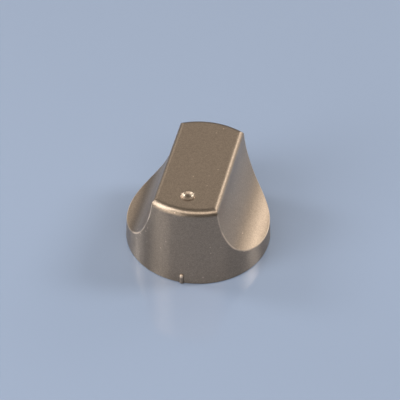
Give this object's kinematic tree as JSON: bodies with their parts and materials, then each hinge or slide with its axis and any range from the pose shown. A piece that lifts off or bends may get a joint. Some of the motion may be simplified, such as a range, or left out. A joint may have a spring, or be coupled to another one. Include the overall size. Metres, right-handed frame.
{
  "type": "appliance control knob",
  "caption": "Round tapered control knob with a raised finger-grip bar between two scoops, hollow beneath, with a slotted hub for a D-shaped shaft and a steel spring ring.",
  "frame": {"origin": "centre of the rim that faces the appliance's panel, on the shaft's axis", "axes": "+Z along the shaft's axis from the panel to the top face; the grip runs along Y with its pointer end at -Y; the finger scoops are at -X and +X"},
  "size_m": [0.04, 0.0405, 0.0255],
  "materials": {
    "champagne_paint": "satin champagne metallic paint with fine flake on a dark plastic moulding",
    "spring_steel": "plain rolled spring steel"
  },
  "bodies": {
    "root": {"knob_body": "champagne_paint", "spring_ring": "spring_steel"}
  },
  "joints": []
}
